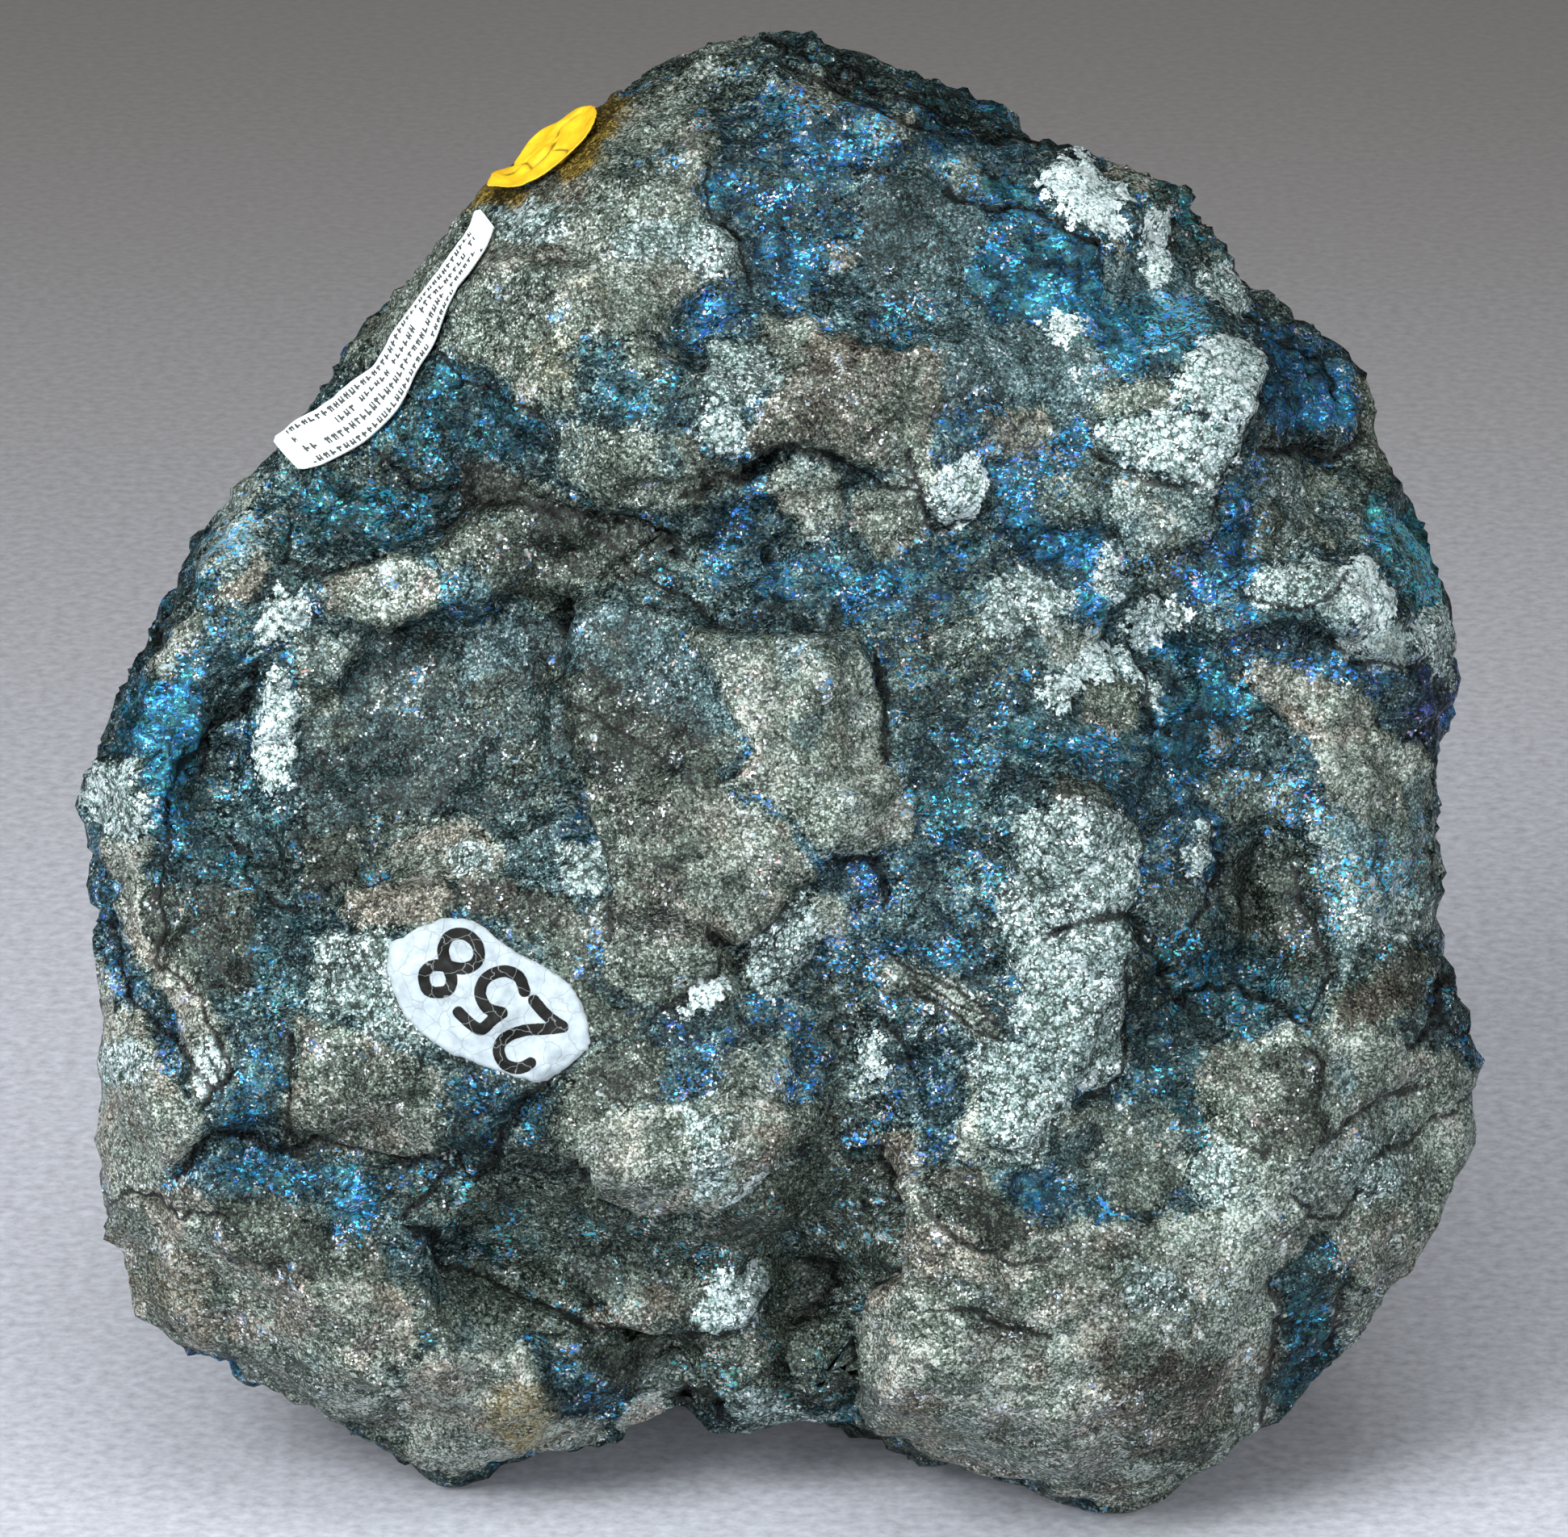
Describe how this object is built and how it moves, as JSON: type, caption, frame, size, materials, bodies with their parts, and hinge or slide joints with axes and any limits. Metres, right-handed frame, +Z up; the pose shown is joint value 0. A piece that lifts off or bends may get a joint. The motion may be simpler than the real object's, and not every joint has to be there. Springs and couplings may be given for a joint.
{
  "type": "peacock ore specimen",
  "caption": "Upright lump of blue-tarnished granular copper sulphide ore with a worn flat foot and small specimen labels on its face and flank.",
  "frame": {"origin": "middle of the bounding box's footprint, on the surface that the stone stands on", "axes": "+Z up, +X to the right of the broad face, which is turned to -Y and leans back 20 degrees"},
  "size_m": [0.0868, 0.0608, 0.0869],
  "materials": {
    "ore": "granular metallic sulphide, silver-grey and tan patches in a blue to teal tarnished ground",
    "label_paint": "white paint with fine crackle and black painted digits",
    "label_paper": "matt white paper with rows of tiny grey marks",
    "yellow_paper": "creased yellow paper sticker"
  },
  "bodies": {
    "root": {"ore": "ore", "number_label": "label_paint", "strip_label": "label_paper", "yellow_label": "yellow_paper"}
  },
  "joints": []
}
